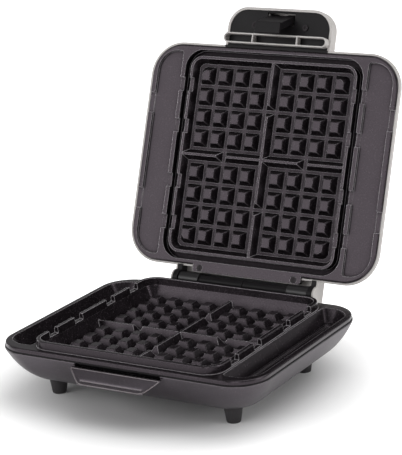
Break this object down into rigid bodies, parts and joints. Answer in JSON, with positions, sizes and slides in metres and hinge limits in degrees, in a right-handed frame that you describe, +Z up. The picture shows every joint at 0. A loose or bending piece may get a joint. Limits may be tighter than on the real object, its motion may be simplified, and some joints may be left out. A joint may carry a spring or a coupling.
{
  "type": "waffle maker",
  "caption": "Square hinged waffle maker with a silver lid, graphite base, gridded non-stick plates, drip troughs and a sprung handle latch.",
  "frame": {"origin": "on the table plane, under the middle of the lower plate and midway between the feet", "axes": "+X to the right seen from the front, +Y from the front to the hinge at the back, +Z up"},
  "size_m": [0.2846, 0.3736, 0.3228],
  "materials": {
    "graphite_shell": "satin graphite moulding",
    "silver_shell": "fine metallic silver moulding",
    "nonstick_casting": "cast, with satin non-stick coating",
    "black_plastic": "satin black moulding",
    "black_rubber": "matt",
    "zinc_steel": "zinc plated",
    "bright_steel": "ground",
    "black_screw": "black oxide",
    "heater_sheath": "annealed sheath",
    "aluminised_sheet": "bright rolled sheet",
    "brown_phenolic": "moulded phenolic",
    "white_ceramic": "glazed steatite",
    "lead_sleeving": "glass-fibre sleeving",
    "red_lens": "clear red",
    "green_lens": "clear green",
    "clear_glass": "polished"
  },
  "bodies": {
    "base": {"base_housing": "graphite_shell", "lower_plate": "nonstick_casting", "front_vent_grille": "black_plastic", "foot_screws": "zinc_steel", "hinge_pin_left": "bright_steel", "hinge_pin_right": "bright_steel", "hinge_sleeve_left": "black_plastic", "hinge_sleeve_right": "black_plastic", "lower_element": "heater_sheath", "lower_element_clamps": "zinc_steel", "lower_heat_shield": "aluminised_sheet", "thermostat": "brown_phenolic", "thermal_fuse": "bright_steel", "fuse_clip": "zinc_steel", "terminal_block": "white_ceramic", "base_leads": "lead_sleeving", "cord_gland": "black_rubber", "foot_front_left": "black_rubber", "foot_front_right": "black_rubber", "foot_rear_left": "black_rubber", "foot_rear_right": "black_rubber"},
    "lid": {"lid_housing": "silver_shell", "upper_plate": "nonstick_casting", "handle_insert": "black_plastic", "handle_collar": "silver_shell", "insert_screws": "black_screw", "upper_plate_screws": "black_screw", "latch_pin": "bright_steel", "latch_spring": "bright_steel", "upper_element": "heater_sheath", "upper_element_clamps": "zinc_steel", "upper_heat_shield": "aluminised_sheet", "lid_leads": "lead_sleeving", "power_lamp_lens": "red_lens", "ready_lamp_lens": "green_lens", "lamp_holder": "white_ceramic", "indicator_lamps": "clear_glass"},
    "latch": {"latch_hook": "black_plastic"}
  },
  "joints": [
    {"name": "lid_hinge", "type": "hinge", "parent": "base", "child": "lid", "pos_m": [0, 0.1285, 0.0575], "axis": [1, 0, 0], "range_deg": [0, 110.6]},
    {"name": "latch_pivot", "type": "hinge", "parent": "lid", "child": "latch", "pos_m": [0, 0.23406, 0.31161], "axis": [-1, 0, 0], "range_deg": [0, 12], "stiffness_Nm_per_rad": 0.15, "springref_deg": -20.05}
  ]
}
